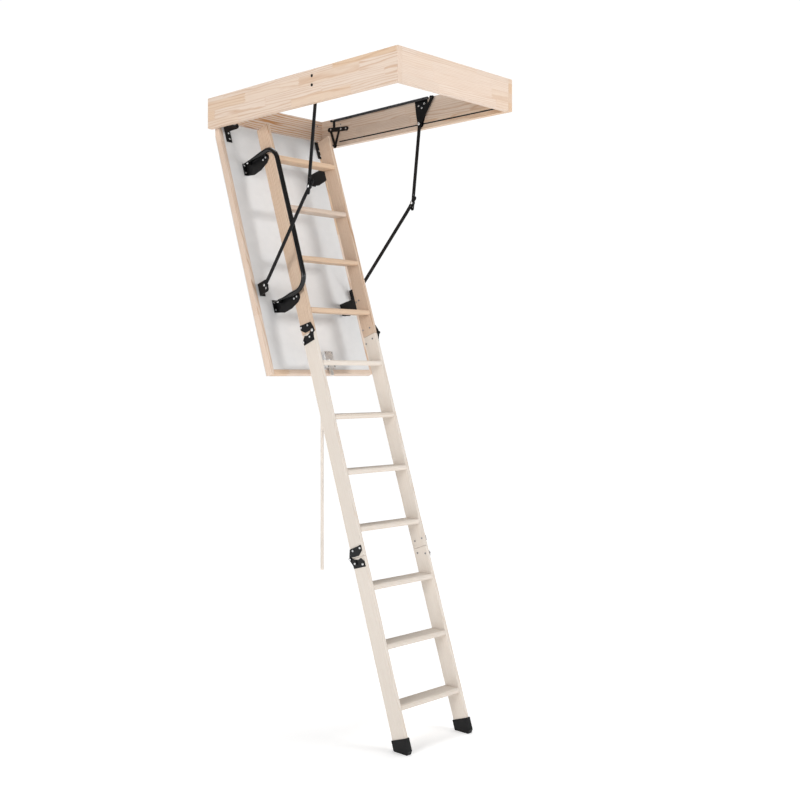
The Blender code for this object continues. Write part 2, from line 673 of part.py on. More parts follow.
# --------------------------------------------------------------------- lock
f = HATCH_FACE - GAP
case = brick("lock_case", (LOCK_X - 0.026, f - 0.018, 0.022 - HATCH_END),
             (LOCK_X + 0.026, f, 0.102 - HATCH_END), LADDER, bevel=0.0015)
cut(case, brick("channel", (LOCK_X - 0.0105, f - 0.0135, 0.008 - HATCH_END),
                (LOCK_X + 0.0105, f - 0.0045, 0.084 - HATCH_END), LADDER))
brick("latch_bolt", (LOCK_X - 0.010, f - 0.0130, -0.010 - HATCH_END),
      (LOCK_X + 0.010, f - 0.0050, 0.070 - HATCH_END), LADDER)

# ----------------------------------------------------------------- pole and eye
EYE_T = 0.038 - HATCH_END              # the eye's height up the hatch
BACK = HATCH_FACE + HATCH_THICK
EYE_OUT = 0.0205                       # crown of the eye below the hatch
eye_bend = [(-0.012, GAP), (-0.012, 0.010), (-0.009, 0.0175), (0.0, EYE_OUT),
            (0.009, 0.0175), (0.012, 0.010), (0.012, GAP)]
eye = sweep("pole_eye", [(POLE_X + x, BACK + out, EYE_T) for x, out in eye_bend],
            0.0024, 10, LADDER)
join(eye, brick("plate", (POLE_X - 0.022, BACK + GAP, EYE_T - 0.012),
                (POLE_X + 0.022, BACK + 0.0023, EYE_T + 0.012), LADDER))

crown = LADDER @ Vector((POLE_X, BACK + EYE_OUT, EYE_T))
ey, ez = crown.y + Y_CENTRE, crown.z - FLOOR_TO_BOX
HOOK_R = 0.0095
hook_bend = [(ey + HOOK_R * math.cos(math.radians(a)),
              ez + HOOK_R * math.sin(math.radians(a)) - 0.0035)
             for a in range(200, -61, -20)]
hook_bend += [(ey + 0.0035, ez - 0.017), (ey + 0.0003, ez - 0.026),
              (ey, ez - 0.036), (ey, ez - 0.060)]
hook = sweep("pole_hook", [(POLE_X, *point) for point in hook_bend], 0.0022, 10)
join(hook, sweep("ferrule", [(POLE_X, ey, ez - 0.052),
                             (POLE_X, ey, ez - 0.0597)], 0.0074, 18))
sweep("pole", [(POLE_X, ey, z) for z in (ez - 0.0600,
                                         POLE_END - FLOOR_TO_BOX + 0.004,
                                         POLE_END - FLOOR_TO_BOX)], POLE_R, 20)

# every mesh into the row's frame
for ob in bpy.data.objects:
    ob.data.transform(ob.matrix_world)
    ob.matrix_world = Matrix.Identity(4)

# ---------------------------------------------------------------- materials
PINE = (0.78, 0.60, 0.40)
COLOURS = {
    "wood": (PINE, 0.0, 0.55),
    "black": ((0.02, 0.02, 0.022), 0.4, 0.42),
    "white": ((0.86, 0.87, 0.88), 0.0, 0.45),
    "foam": ((0.93, 0.92, 0.88), 0.0, 0.9),
    "rubber": ((0.02, 0.02, 0.02), 0.0, 0.8),
    "zinc": ((0.62, 0.63, 0.65), 1.0, 0.35),
    "plastic": ((0.02, 0.02, 0.02), 0.0, 0.5),
}
FAMILY = (("side_board", "wood"), ("end_board", "wood"), ("frame_seal", "rubber"),
          ("hatch_frame", "wood"), ("hatch_core", "foam"),
          ("hatch_inner_skin", "white"), ("hatch_outer_skin", "white"),
          ("step_", "wood"), ("foot_", "plastic"), ("latch_bolt", "zinc"),
          ("lock_case", "zinc"), ("pole_eye", "zinc"), ("pole_hook", "zinc"),
          ("pole", "wood"))


def family(name):
    if "_stile" in name:
        return "wood"
    for stem, kind in FAMILY:
        if name.startswith(stem):
            return kind
    return "black"


for ob in sorted(bpy.data.objects, key=lambda o: o.name):
    colour, metal, rough = COLOURS[family(ob.name)]
    mat = bpy.data.materials.new(ob.name + "_material")
    mat.use_nodes = True
    shader = mat.node_tree.nodes["Principled BSDF"]
    shader.inputs["Base Color"].default_value = (*colour, 1.0)
    shader.inputs["Metallic"].default_value = metal
    shader.inputs["Roughness"].default_value = rough
    ob.data.materials.clear()
    ob.data.materials.append(mat)
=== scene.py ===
"""Looks of the attic ladder: wood, paint, metal, fasteners, springs, light, camera.

Metres, +Z up.  The box frame hangs at the top, the ladder leans against the
open hatch.  "Ladder" coordinates are (x, off, s): off runs from the front of
the stringers towards the hatch, s runs down the ladder.
"""
import json
import math

import bmesh
import bpy
from mathutils import Euler, Matrix, Vector


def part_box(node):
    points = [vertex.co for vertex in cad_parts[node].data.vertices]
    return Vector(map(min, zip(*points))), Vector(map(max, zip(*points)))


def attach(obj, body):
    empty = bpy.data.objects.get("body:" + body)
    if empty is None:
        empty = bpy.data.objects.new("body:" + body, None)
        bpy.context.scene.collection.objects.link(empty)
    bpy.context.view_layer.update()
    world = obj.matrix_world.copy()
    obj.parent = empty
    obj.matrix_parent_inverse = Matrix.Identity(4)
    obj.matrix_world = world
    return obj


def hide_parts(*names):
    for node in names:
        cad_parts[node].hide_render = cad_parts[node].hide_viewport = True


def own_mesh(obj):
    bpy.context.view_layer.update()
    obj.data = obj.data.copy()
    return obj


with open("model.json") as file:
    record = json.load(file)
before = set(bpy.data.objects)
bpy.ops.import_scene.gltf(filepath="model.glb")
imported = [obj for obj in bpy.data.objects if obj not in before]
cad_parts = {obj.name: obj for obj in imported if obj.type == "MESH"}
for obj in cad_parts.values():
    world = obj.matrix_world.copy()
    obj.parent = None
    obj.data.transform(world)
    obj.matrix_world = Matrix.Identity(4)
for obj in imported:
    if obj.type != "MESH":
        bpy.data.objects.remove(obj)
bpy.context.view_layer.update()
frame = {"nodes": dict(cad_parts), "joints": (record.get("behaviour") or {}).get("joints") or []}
NODES = frame["nodes"]
JOINTS = {joint["name"]: joint for joint in frame["joints"]}
SIDES = (("left", -1.0), ("right", 1.0))

# ------------------------------------------------------------ places, in metres
SLOPE = math.radians(71.5)
CA, SA = math.cos(SLOPE), math.sin(SLOPE)
TILT = math.pi / 2 - SLOPE                      # turns "up the ladder" into +Z
UPPER_KNUCKLE, LOWER_KNUCKLE = 0.976, 1.962     # s of the section hinges
KNUCKLE_OUT = 0.003
STILE_DEPTH = 0.075
STILE_THICK = 0.018
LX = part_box("upper_stile_right")[1].x           # outer face of the stringers
INNER_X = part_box("side_board_right")[0].x       # inner face of the side boards
OUTER_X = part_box("side_board_right")[1].x
BOX_LOW, BOX_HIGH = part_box("side_board_right")
HATCH_FACE = 0.1944
HATCH_THICK = 0.036
HATCH_TOP, HATCH_END = -0.048, 1.109
HATCH_LIP, BEVEL_OFF = -0.104, 0.2114           # bevelled hinge end
HATCH_HALF = 0.311
HATCH_RAIL = 0.020
PLATE_FACE = HATCH_FACE - 0.0003                # where brackets lie on the hatch

fold = Vector(JOINTS["upper_fold"]["pos_m"])
ORIGIN = Vector((0.0, fold.y + SA * KNUCKLE_OUT + CA * UPPER_KNUCKLE,
                 fold.z - CA * KNUCKLE_OUT + SA * UPPER_KNUCKLE))


def on_ladder(x, off, s):
    """A point given in ladder coordinates."""
    return ORIGIN + Vector((x, SA * off - CA * s, -CA * off - SA * s))


FROM_HATCH = Vector((0.0, -SA, CA))             # out of the hatch, to the ladder

# ------------------------------------------------------------------ node graphs


class Graph:
    """Short calls for building a node tree."""

    def __init__(self, tree):
        self.tree = tree

    def node(self, kind, inputs=None, **settings):
        made = self.tree.nodes.new(kind)
        for key, value in settings.items():
            setattr(made, key, value)
        for key, value in (inputs or {}).items():
            self.feed(made.inputs[key], value)
        return made

    def feed(self, socket, value):
        if isinstance(value, bpy.types.NodeSocket):
            self.tree.links.new(value, socket)
        else:
            socket.default_value = value

    def math(self, operation, *values, clamp=False):
        made = self.node("ShaderNodeMath", operation=operation, use_clamp=clamp)
        for socket, value in zip(made.inputs, values):
            self.feed(socket, value)
        return made.outputs[0]

    def ramp(self, value, stops):
        made = self.node("ShaderNodeValToRGB", {"Fac": value})
        elements = made.color_ramp.elements
        while len(elements) < len(stops):
            elements.new(0.5)
        for element, (place, tone) in zip(elements, stops):
            element.position = place
            colour = tone if isinstance(tone, tuple) else (tone, tone, tone)
            element.color = (*colour, 1.0)
        return made.outputs["Color"]

    def noise(self, vector, scale, detail=2.0, rough=0.5):
        made = self.node("ShaderNodeTexNoise", {
            "Vector": vector, "Scale": scale, "Detail": detail,
            "Roughness": rough})
        return made.outputs["Fac"]

    def mix(self, share, a, b, blend="MIX"):
        made = self.node("ShaderNodeMix", data_type="RGBA", blend_type=blend)
        self.feed(made.inputs["Factor"], share)
        self.feed(made.inputs["A"], a)
        self.feed(made.inputs["B"], b)
        return made.outputs["Result"]

    def xyz(self, x, y, z):
        return self.node("ShaderNodeCombineXYZ",
                         {"X": x, "Y": y, "Z": z}).outputs[0]

    def split(self, vector):
        return self.node("ShaderNodeSeparateXYZ", {"Vector": vector}).outputs


def new_material(name):
    material = bpy.data.materials.new(name)
    material.use_nodes = True
    graph = Graph(material.node_tree)
    shader = material.node_tree.nodes["Principled BSDF"]
    return material, graph, shader


def colour4(rgb):
    return (*rgb, 1.0)


# ------------------------------------------------------------------------- pine
PALE = (0.790, 0.660, 0.560)
WARM = (0.740, 0.545, 0.385)
LATEWOOD = (0.570, 0.345, 0.205)
ORANGE = (0.560, 0.270, 0.105)
# The next tone is the pale wood darkened as painted shade, for the upper ladder section that
# lies in shade.
PAINTED_SHADE_PALE = (0.700, 0.600, 0.520)
BROWN_LATE = (0.430, 0.255, 0.150)
WASHED = (0.800, 0.735, 0.665)
WASHED_WARM = (0.760, 0.670, 0.580)
WASHED_LATE = (0.640, 0.510, 0.400)


FINGER, FINGER_SLOPE = 0.0042, 2.4               # comb joint between blocks
SIDE_GLUE, END_GLUE = 0.00045, 0.0008           # half widths of the glue lines
HEART_SPREAD, HEART_LEAN = 0.10, 0.075          # where the tree's heart lies
HEART_NEAR, HEART_FAR = 0.012, 0.055
RING_BEND = 3.2                                 # sway of the rings, in rings


def pine_group():
    """Growth rings, fibres, glued strips and finger joints of planed pine."""
    tree = bpy.data.node_groups.new("pine", "ShaderNodeTree")
    face = tree.interface
    face.new_socket("Grain", in_out="INPUT", socket_type="NodeSocketVector")
    for name in ("Seed", "Strip", "Block", "Ring", "Contrast"):
        face.new_socket(name, in_out="INPUT", socket_type="NodeSocketFloat")
    for name in ("Light", "Second", "Dark"):
        face.new_socket(name, in_out="INPUT", socket_type="NodeSocketColor")
    face.new_socket("Color", in_out="OUTPUT", socket_type="NodeSocketColor")
    face.new_socket("Height", in_out="OUTPUT", socket_type="NodeSocketFloat")
    face.new_socket("Rough", in_out="OUTPUT", socket_type="NodeSocketFloat")
    g = Graph(tree)
    given = g.node("NodeGroupInput").outputs
    u, v, w = g.split(given["Grain"])
    seed, strip, block = given["Seed"], given["Strip"], given["Block"]

    # glued strips, each cut into blocks whose ends meet in a comb joint
    rows = g.math("DIVIDE", v, strip)
    row = g.math("FLOOR", rows)
    row_noise = g.node("ShaderNodeTexWhiteNoise", {
        "Vector": g.xyz(row, seed, 3.0)}).outputs["Value"]
    comb = g.math("PINGPONG", v, FINGER)
    along = g.math("ADD", u, g.math("MULTIPLY", comb, FINGER_SLOPE))
    cells = g.math("ADD", g.math("DIVIDE", along, block),
                   g.math("MULTIPLY", row_noise, 9.0))
    cell = g.math("FLOOR", cells)
    pick = g.node("ShaderNodeTexWhiteNoise", {
        "Vector": g.xyz(row, cell, seed)}).outputs["Color"]
    r1, r2, r3 = g.split(pick)

    # growth rings round a heart that lies outside the board
    heart_v = g.math("MULTIPLY", g.math("SUBTRACT", r1, 0.5), HEART_SPREAD)
    lean = g.math("MULTIPLY", g.math("SUBTRACT", r2, 0.5), HEART_LEAN)
    heart_v = g.math("ADD", heart_v, g.math("MULTIPLY", u, lean))
    heart_w = g.math("MULTIPLY_ADD", r3, HEART_FAR, HEART_NEAR)
    flow = g.xyz(g.math("MULTIPLY_ADD", u, 1.3, g.math("MULTIPLY", r1, 17.0)),
                 g.math("MULTIPLY", v, 9.0), g.math("MULTIPLY", w, 9.0))
    sway = g.noise(flow, 1.6, 3.0, 0.55)
    local_v = g.math("SUBTRACT", g.math("MULTIPLY", g.math("FRACT", rows), strip),
                     g.math("MULTIPLY", strip, 0.5))
    dv = g.math("SUBTRACT", local_v, heart_v)
    dw = g.math("ADD", w, heart_w)
    radius = g.math("SQRT", g.math("ADD", g.math("MULTIPLY", dv, dv),
                                   g.math("MULTIPLY", dw, dw)))
    bend = g.math("MULTIPLY", sway, g.math("MULTIPLY", given["Ring"], RING_BEND))
    radius = g.math("ADD", radius, bend)
    ring = g.math("FRACT", g.math("DIVIDE", radius, given["Ring"]))
    late = g.ramp(ring, [(0.0, 0.03), (0.52, 0.12), (0.84, 1.0), (0.94, 0.60),
                         (1.0, 0.03)])
    fibre = g.noise(g.xyz(g.math("MULTIPLY", u, 7.0), g.math("MULTIPLY", v, 260.0),
                          g.math("MULTIPLY", w, 260.0)), 1.0, 3.0, 0.6)
    fleck = g.noise(g.xyz(g.math("MULTIPLY", u, 40.0), g.math("MULTIPLY", v, 700.0),
                          g.math("MULTIPLY", w, 700.0)), 1.0, 1.0)
    cloud = g.noise(flow, 0.9, 2.0)
    strength = g.math("MULTIPLY", given["Contrast"],
                      g.math("MULTIPLY_ADD", cloud, 1.5, 0.15))
    share = g.math("MULTIPLY", late, strength)
    share = g.math("ADD", share, g.math("MULTIPLY_ADD", fibre, 0.60, -0.27),
                   clamp=True)

    body = g.mix(g.ramp(r3, [(0.0, 0.0), (0.55, 0.12), (0.80, 0.35), (1.0, 1.0)]),
                 given["Light"], given["Second"])
    wood = g.mix(share, body, given["Dark"])
    tint = g.math("MULTIPLY_ADD", g.math("MULTIPLY", r2, fleck), 0.10, 0.925)
    wood = g.mix(1.0, wood, g.xyz(tint, tint, tint), "MULTIPLY")

    # hairline glue joints
    edge = g.math("MULTIPLY", g.math("PINGPONG", rows, 0.5), strip)
    side = g.math("SUBTRACT", 1.0, g.math("DIVIDE", edge, SIDE_GLUE), clamp=True)
    end = g.math("MULTIPLY", g.math("PINGPONG", cells, 0.5), block)
    tip = g.math("SUBTRACT", 1.0, g.math("DIVIDE", end, END_GLUE), clamp=True)
    seam = g.math("MAXIMUM", side, tip)
    wood = g.mix(g.math("MULTIPLY", seam, 0.45), wood, colour4(LATEWOOD))

    height = g.math("ADD", g.math("MULTIPLY", late, 0.5),
                    g.math("MULTIPLY", fibre, 0.5))
    height = g.math("SUBTRACT", height, g.math("MULTIPLY", seam, 0.8))
    rough = g.math("MULTIPLY_ADD", fibre, 0.18, 0.46)
    result = g.node("NodeGroupOutput")
    for name, value in (("Color", wood), ("Height", height), ("Rough", rough)):
        g.feed(result.inputs[name], value)
    return tree


PINE = pine_group()
AXES = {"x": (0, 2, 1), "y": (1, 2, 0), "z": (2, 1, 0), "z_flat": (2, 0, 1)}


def pine(name, seed, grain, tilt=0.0, strip=0.9, block=7.0, ring=0.0030,
         contrast=0.42, tones=(PALE, WARM, LATEWOOD), face_at=0.0):
    """grain names the axis the fibres follow, after turning by tilt about X.

    face_at is where the board lies along the axis across its wide face.
    """
    material, g, shader = new_material(name)
    place = g.node("ShaderNodeTexCoord").outputs["Object"]
    turned = g.node("ShaderNodeMapping", {"Vector": place,
                                          "Rotation": (tilt, 0.0, 0.0)}).outputs[0]
    parts = g.split(turned)
    u, v, w = (parts[k] for k in AXES[grain])
    shift = 0.37 * seed
    grained = g.xyz(g.math("ADD", u, shift), g.math("ADD", v, strip * 0.31),
                    g.math("ADD", w, 0.011 * (seed % 5) - face_at))
    wood = g.node("ShaderNodeGroup", node_tree=PINE)
    for key, value in (("Grain", grained), ("Seed", seed), ("Strip", strip),
                       ("Block", block), ("Ring", ring), ("Contrast", contrast),
                       ("Light", colour4(tones[0])), ("Second", colour4(tones[1])),
                       ("Dark", colour4(tones[2]))):
        g.feed(wood.inputs[key], value)
    g.feed(shader.inputs["Base Color"], wood.outputs["Color"])
    g.feed(shader.inputs["Roughness"], wood.outputs["Rough"])
    shader.inputs["Specular IOR Level"].default_value = 0.35
    bump = g.node("ShaderNodeBump", {"Strength": 0.22, "Distance": 0.0006,
                                     "Height": wood.outputs["Height"]})
    g.feed(shader.inputs["Normal"], bump.outputs[0])
    return material


# ------------------------------------------------------------- other materials
def grained_surface(name, low, high, scale, rough, metallic=0.0, bump=0.1,
                    bump_size=0.0002, specular=0.5):
    """A colour between low and high, with matching roughness and fine bump."""
    material, g, shader = new_material(name)
    place = g.node("ShaderNodeTexCoord").outputs["Object"]
    coarse = g.noise(place, scale * 0.12, 3.0)
    fine = g.noise(place, scale, 3.0, 0.6)
    share = g.ramp(coarse, [(0.30, 0.0), (0.70, 1.0)])
    g.feed(shader.inputs["Base Color"],
           g.mix(share, colour4(low), colour4(high)))
    g.feed(shader.inputs["Roughness"],
           g.math("MULTIPLY_ADD", fine, rough[1] - rough[0], rough[0]))
    shader.inputs["Metallic"].default_value = metallic
    shader.inputs["Specular IOR Level"].default_value = specular
    bumped = g.node("ShaderNodeBump", {"Strength": bump, "Distance": bump_size,
                                       "Height": fine})
    g.feed(shader.inputs["Normal"], bumped.outputs[0])
    return material


BLACK = grained_surface("black_powder_coat", (0.003, 0.003, 0.0035),
                        (0.006, 0.006, 0.0065), 260.0, (0.30, 0.42),
                        bump=0.06, specular=0.28)
RAIL_BLACK = grained_surface("black_rail_paint", (0.003, 0.003, 0.0035),
                             (0.005, 0.005, 0.0055), 180.0, (0.20, 0.28),
                             bump=0.03, specular=0.40)
SPRING_STEEL = grained_surface("spring_wire", (0.045, 0.046, 0.050),
                               (0.10, 0.10, 0.105), 700.0, (0.25, 0.42),
                               metallic=0.9)
ZINC = grained_surface("bright_zinc", (0.66, 0.67, 0.69), (0.84, 0.84, 0.83),
                       600.0, (0.20, 0.38), metallic=1.0)
DARK_ZINC = grained_surface("grey_steel", (0.20, 0.20, 0.21), (0.34, 0.34, 0.35),
                            500.0, (0.28, 0.45), metallic=1.0)
WHITE = grained_surface("white_board_paint", (0.755, 0.757, 0.760),
                        (0.785, 0.785, 0.786), 220.0, (0.34, 0.46), bump=0.06)
RUBBER = grained_surface("seal_rubber", (0.010, 0.010, 0.010),
                         (0.024, 0.024, 0.024), 800.0, (0.62, 0.85), bump=0.3)
SHOE = grained_surface("shoe_plastic", (0.0025, 0.0025, 0.003),
                       (0.006, 0.006, 0.0065), 500.0, (0.40, 0.55), bump=0.20,
                       specular=0.22)
FOAM = grained_surface("core_foam", (0.80, 0.79, 0.74), (0.90, 0.89, 0.85),
                       500.0, (0.8, 0.95), bump=0.6)


# ------------------------------------------------------------------- mesh tools
def add_object(name, bm, material, smooth_angle=None):
    bmesh.ops.recalc_face_normals(bm, faces=bm.faces)
    mesh = bpy.data.meshes.new(name)
    bm.to_mesh(mesh)
    bm.free()
    if smooth_angle is not None:
        mesh.shade_smooth()
        mesh.set_sharp_from_angle(angle=math.radians(smooth_angle))
    mesh.materials.append(material)
    made = bpy.data.objects.new(name, mesh)
    bpy.context.scene.collection.objects.link(made)
    return made


def close_rings(bm, rings):
    """Faces between neighbouring rings, and a cap on each end."""
    sides = len(rings[0])
    for low, high in zip(rings, rings[1:]):
        for k in range(sides):
            bm.faces.new((low[k], low[(k + 1) % sides],
                          high[(k + 1) % sides], high[k]))
    bm.faces.new(rings[0])
    bm.faces.new(list(reversed(rings[-1])))


def basis(axis):
    """Two directions across an axis."""
    axis = axis.normalized()
    helper = Vector((0, 0, 1)) if abs(axis.z) < 0.9 else Vector((1, 0, 0))
    side = axis.cross(helper).normalized()
    return side, axis.cross(side)


def turned(bm, profile, at, axis, sides=24, hexed=()):
    """A lathe shape: profile holds (radius, height); rings in hexed are six-sided."""
    side, up = basis(axis)
    axis = axis.normalized()
    rings = []
    for index, (radius, height) in enumerate(profile):
        ring = []
        for k in range(sides):
            angle = 2 * math.pi * k / sides
            r = radius
            if index in hexed:
                bay = (angle + math.pi / 6) % (math.pi / 3) - math.pi / 6
                r = radius * math.cos(math.pi / 6) / math.cos(bay)
            ring.append(bm.verts.new(at + side * r * math.cos(angle)
                                     + up * r * math.sin(angle) + axis * height))
        rings.append(ring)
    close_rings(bm, rings)


def dome_bolt(bm, at, axis, radius):
    """A button head with a hexagon socket."""
    h = radius * 0.55
    profile = [(radius, 0.0), (radius, h * 0.30), (radius * 0.93, h * 0.62),
               (radius * 0.74, h * 0.90), (radius * 0.50, h),
               (radius * 0.42, h), (radius * 0.40, h * 0.25)]
    turned(bm, profile, at, axis, hexed=(5, 6))


def rivet(bm, at, axis, radius):
    """A plain domed rivet head."""
    h = radius * 0.5
    profile = [(radius, 0.0), (radius * 0.98, h * 0.35), (radius * 0.85, h * 0.70),
               (radius * 0.60, h * 0.92), (radius * 0.25, h)]
    turned(bm, profile, at, axis)


NUT_HIGH, BOLT_END, BOLT_TIP = 0.0016, 0.0022, 0.0026


def nut(bm, at, axis, radius):
    """A hexagon nut with a bolt end."""
    profile = [(radius * 0.96, 0.0), (radius, NUT_HIGH * 0.12),
               (radius, NUT_HIGH * 0.82), (radius * 0.88, NUT_HIGH),
               (radius * 0.55, NUT_HIGH), (radius * 0.50, BOLT_END),
               (radius * 0.40, BOLT_TIP)]
    turned(bm, profile, at, axis, hexed=(0, 1, 2))


def cross_screw(bm, at, axis, radius):
    """A shallow pan head with a cross recess drawn as a four-lobed dent."""
    h = radius * 0.35
    side, up = basis(axis)
    sides = 32
    rings = []
    for r, height, lobes in ((radius, 0.0, 0), (radius * 0.95, h * 0.6, 0),
                             (radius * 0.72, h, 0), (radius * 0.52, h, 1),
                             (radius * 0.30, h * 0.15, 1)):
        ring = []
        for k in range(sides):
            angle = 2 * math.pi * k / sides
            grow = 1.0
            if lobes:
                grow = 0.42 + 0.58 * abs(math.cos(2 * angle)) ** 6
            ring.append(bm.verts.new(at + (side * math.cos(angle)
                                           + up * math.sin(angle)) * r * grow
                                     + axis.normalized() * height))
        rings.append(ring)
    close_rings(bm, rings)


def tube(bm, points, radius, sides=12, squeeze=None):
    """A tube along points; squeeze(i) gives its two half widths at a point."""
    count = len(points)
    previous = None
    rings = []
    for i, point in enumerate(points):
        along = (points[min(i + 1, count - 1)] - points[max(i - 1, 0)]).normalized()
        if previous is None:
            previous = basis(along)[0]
        side = (previous - along * previous.dot(along)).normalized()
        previous = side
        up = along.cross(side)
        a, b = squeeze(i) if squeeze else (radius, radius)
        rings.append([bm.verts.new(point + side * a * math.cos(2 * math.pi * k / sides)
                                   + up * b * math.sin(2 * math.pi * k / sides))
                      for k in range(sides)])
    close_rings(bm, rings)


def arc(centre, radius, start, end, steps):
    """Points (off, s) round a centre, angles in degrees."""
    angles = (math.radians(start + (end - start) * k / steps)
              for k in range(steps + 1))
    return [(centre[0] + radius * math.cos(a), centre[1] - radius * math.sin(a))
            for a in angles]


# ------------------------------------------------------------- the CAD's pieces
def paint(node, material, bevel=0.0, smooth=30.0):
    """A material for a CAD node, softened edges and smooth round faces."""
    ob = NODES[node]
    ob.data.materials.clear()
    ob.data.materials.append(material)
    if bevel:
        soft = ob.modifiers.new("soft_edges", "BEVEL")
        soft.width = bevel
        soft.segments = 2
        soft.limit_method = "ANGLE"
        soft.angle_limit = math.radians(40)
        soft.use_clamp_overlap = True
    shading = ob.modifiers.new("clean_shading", "WEIGHTED_NORMAL")
    shading.keep_sharp = True
    ob.data.shade_smooth()
    ob.data.set_sharp_from_angle(angle=math.radians(smooth))


EDGE = 0.0008                                   # softened edge of a planed board
BOARD_LOOK = dict(strip=0.0405, block=0.36, ring=0.0052)
paint("side_board_left", pine("pine_side_left", 3, "y", contrast=0.62,
                              face_at=-OUTER_X, **BOARD_LOOK), EDGE)
paint("side_board_right", pine("pine_side_right", 8, "y", contrast=0.75,
                               face_at=INNER_X, **BOARD_LOOK), EDGE)
paint("end_board_front", pine("pine_end_front", 12, "x", contrast=0.42,
                              face_at=BOX_LOW.y, **BOARD_LOOK), EDGE)
paint("end_board_rear", pine("pine_end_rear", 5, "x", strip=0.30, block=3.0,
                             ring=0.0090, contrast=1.30, face_at=BOX_HIGH.y,
                             tones=(PALE, WARM, ORANGE)), EDGE)
paint("frame_seal", RUBBER)

# The upper section's darker body tone is painted shade. Its brown grain and stronger grain
# contrast are the wood's own.
LADDER_TONES_WITH_PAINTED_SHADE = {"upper": (PAINTED_SHADE_PALE, WARM, BROWN_LATE),
                "middle": (WASHED, WASHED_WARM, WASHED_LATE),
                "lower": (WASHED, WASHED_WARM, WASHED_LATE)}
for index, section in enumerate(("upper", "middle", "lower")):
    for side, sign in SIDES:
        look = pine("pine_%s_%s" % (section, side), 21 + 7 * index + int(sign) * 2,
                    "z", tilt=TILT, ring=0.0056, face_at=sign * LX,
                    contrast=1.0 if section == "upper" else 0.45,
                    tones=LADDER_TONES_WITH_PAINTED_SHADE[section])
        paint("%s_stile_%s" % (section, side), look)
for number in range(1, 12):
    # Steps 1 to 4 share the upper section's darker tone, which is painted shade.
    section = "upper" if number <= 4 else "middle"
    node = "step_%02d" % number
    look = pine("pine_" + node, 40 + 3 * number, "x", ring=0.0032,
                contrast=0.80 if number <= 4 else 0.50,
                tones=LADDER_TONES_WITH_PAINTED_SHADE[section], face_at=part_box(node)[0].y)
    paint(node, look, 0.0006)
paint("pole", pine("pine_pole", 91, "z_flat", ring=0.0040, contrast=0.18,
                   tones=(WASHED, WASHED_WARM, WASHED_LATE)), 0.0012)

paint("hatch_inner_skin", WHITE, 0.0004)
paint("hatch_outer_skin", WHITE, 0.0006)
paint("hatch_core", FOAM)
for node in ("lock_case", "latch_bolt", "pole_eye", "pole_hook"):
    paint(node, ZINC, 0.0003 if node in ("lock_case", "latch_bolt") else 0.0)
for side, sign in SIDES:
    paint("foot_" + side, SHOE, 0.0016)
    for stem in ("hinge_bracket", "hinge_leaf", "arm_plate", "upper_arm",
                 "lower_arm", "arm_bracket", "hatch_bracket_top",
                 "hatch_bracket_bottom", "upper_hinge_top", "upper_hinge_bottom",
                 "lower_hinge_top", "lower_hinge_bottom"):
        paint("%s_%s" % (stem, side), BLACK, 0.0005)


# ------------------------------------------------------- hatch frame, four strips
def plank(name, x0, x1, outline, material):
    """A strip across X, its outline given as (off, s)."""
    bm = bmesh.new()
    ends = [[bm.verts.new(on_ladder(x, *point)) for point in outline]
            for x in (x0, x1)]
    bm.faces.new(ends[0])
    bm.faces.new(list(reversed(ends[1])))
    count = len(outline)
    for k in range(count):
        after = (k + 1) % count
        bm.faces.new((ends[0][k], ends[0][after], ends[1][after], ends[1][k]))
    bmesh.ops.bevel(bm, geom=list(bm.edges), offset=EDGE, segments=2,
                    profile=0.5, affect="EDGES")
    return add_object(name, bm, material, 35)


INNER_SKIN, OUTER_SKIN = 0.0041, 0.0033         # each with its gap to the frame
FRAME_BACK = HATCH_FACE + HATCH_THICK - OUTER_SKIN
REBATE = HATCH_FACE + INNER_SKIN
RAIL_LOOK = dict(ring=0.0030, contrast=0.75)
JOINT = 0.0002
LONG_OUTLINE = [(HATCH_FACE, HATCH_END), (FRAME_BACK, HATCH_END),
                (FRAME_BACK, HATCH_TOP), (BEVEL_OFF, HATCH_LIP),
                (HATCH_FACE, HATCH_LIP)]
TOP_OUTLINE = [(REBATE, HATCH_TOP + HATCH_RAIL), (FRAME_BACK, HATCH_TOP + HATCH_RAIL),
               (FRAME_BACK, HATCH_TOP), (BEVEL_OFF, HATCH_LIP), (REBATE, HATCH_LIP)]
BOTTOM_OUTLINE = [(HATCH_FACE, HATCH_END), (FRAME_BACK, HATCH_END),
                  (FRAME_BACK, HATCH_END - HATCH_RAIL),
                  (HATCH_FACE, HATCH_END - HATCH_RAIL)]
strips = []
for side, sign in SIDES:
    inner, outer = sorted((sign * (HATCH_HALF - HATCH_RAIL), sign * HATCH_HALF))
    strips.append(plank("hatch_rail_" + side, inner, outer, LONG_OUTLINE,
                        pine("pine_hatch_" + side, 60 + int(sign), "z", tilt=TILT,
                             strip=0.30, block=0.42, face_at=sign * HATCH_HALF,
                             **RAIL_LOOK)))
cross = HATCH_HALF - HATCH_RAIL - JOINT
for label, outline in (("top", TOP_OUTLINE), ("bottom", BOTTOM_OUTLINE)):
    strips.append(plank("hatch_rail_" + label, -cross, cross, outline,
                        pine("pine_hatch_" + label, 67, "x", strip=0.30, block=0.5,
                             **RAIL_LOOK)))
for strip in strips:
    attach(strip, "hatch")
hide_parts("hatch_frame")


